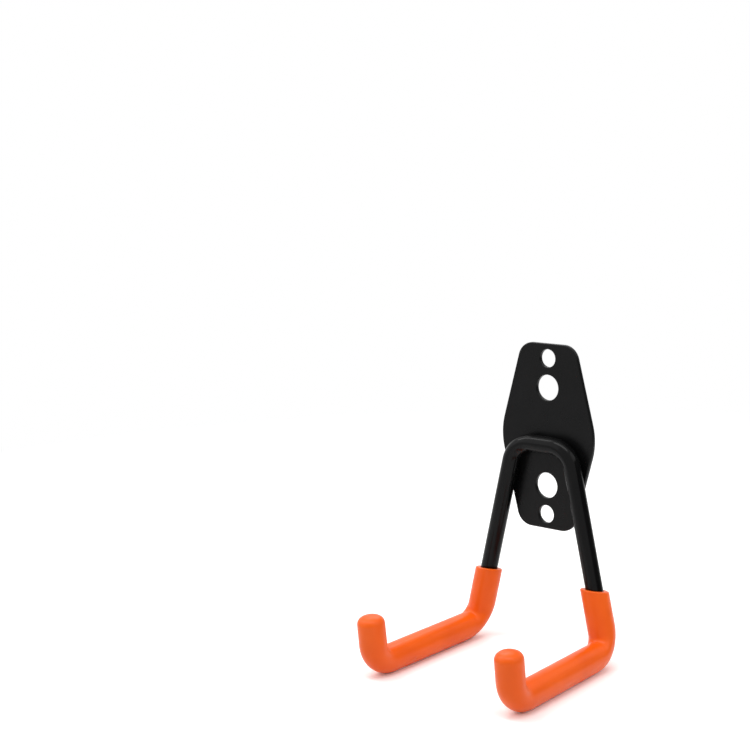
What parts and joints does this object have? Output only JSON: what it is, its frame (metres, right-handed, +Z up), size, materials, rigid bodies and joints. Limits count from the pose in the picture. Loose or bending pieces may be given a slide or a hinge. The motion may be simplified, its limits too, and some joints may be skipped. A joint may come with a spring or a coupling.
{
  "type": "utility hook",
  "caption": "Wall utility hook: a flat plate with screw holes and a bent round bar whose splayed legs carry padded forward arms with upturned tips.",
  "frame": {"origin": "Centre of the plate's back face, midway between the holes. This face lies against the wall.", "axes": "+Y points out of the plate's back into the wall, and the arms reach towards -Y. +Z is up when the hook hangs. X runs along the crossbar."},
  "size_m": [0.0886, 0.089, 0.1459],
  "materials": {
    "steel_black": "satin black powder coat",
    "sleeve_orange": "soft semi-gloss dipped coating"
  },
  "bodies": {
    "root": {"back_plate": "steel_black", "hook_bar": "steel_black", "weld_seam": "steel_black", "left_sleeve": "sleeve_orange", "right_sleeve": "sleeve_orange"}
  },
  "joints": []
}
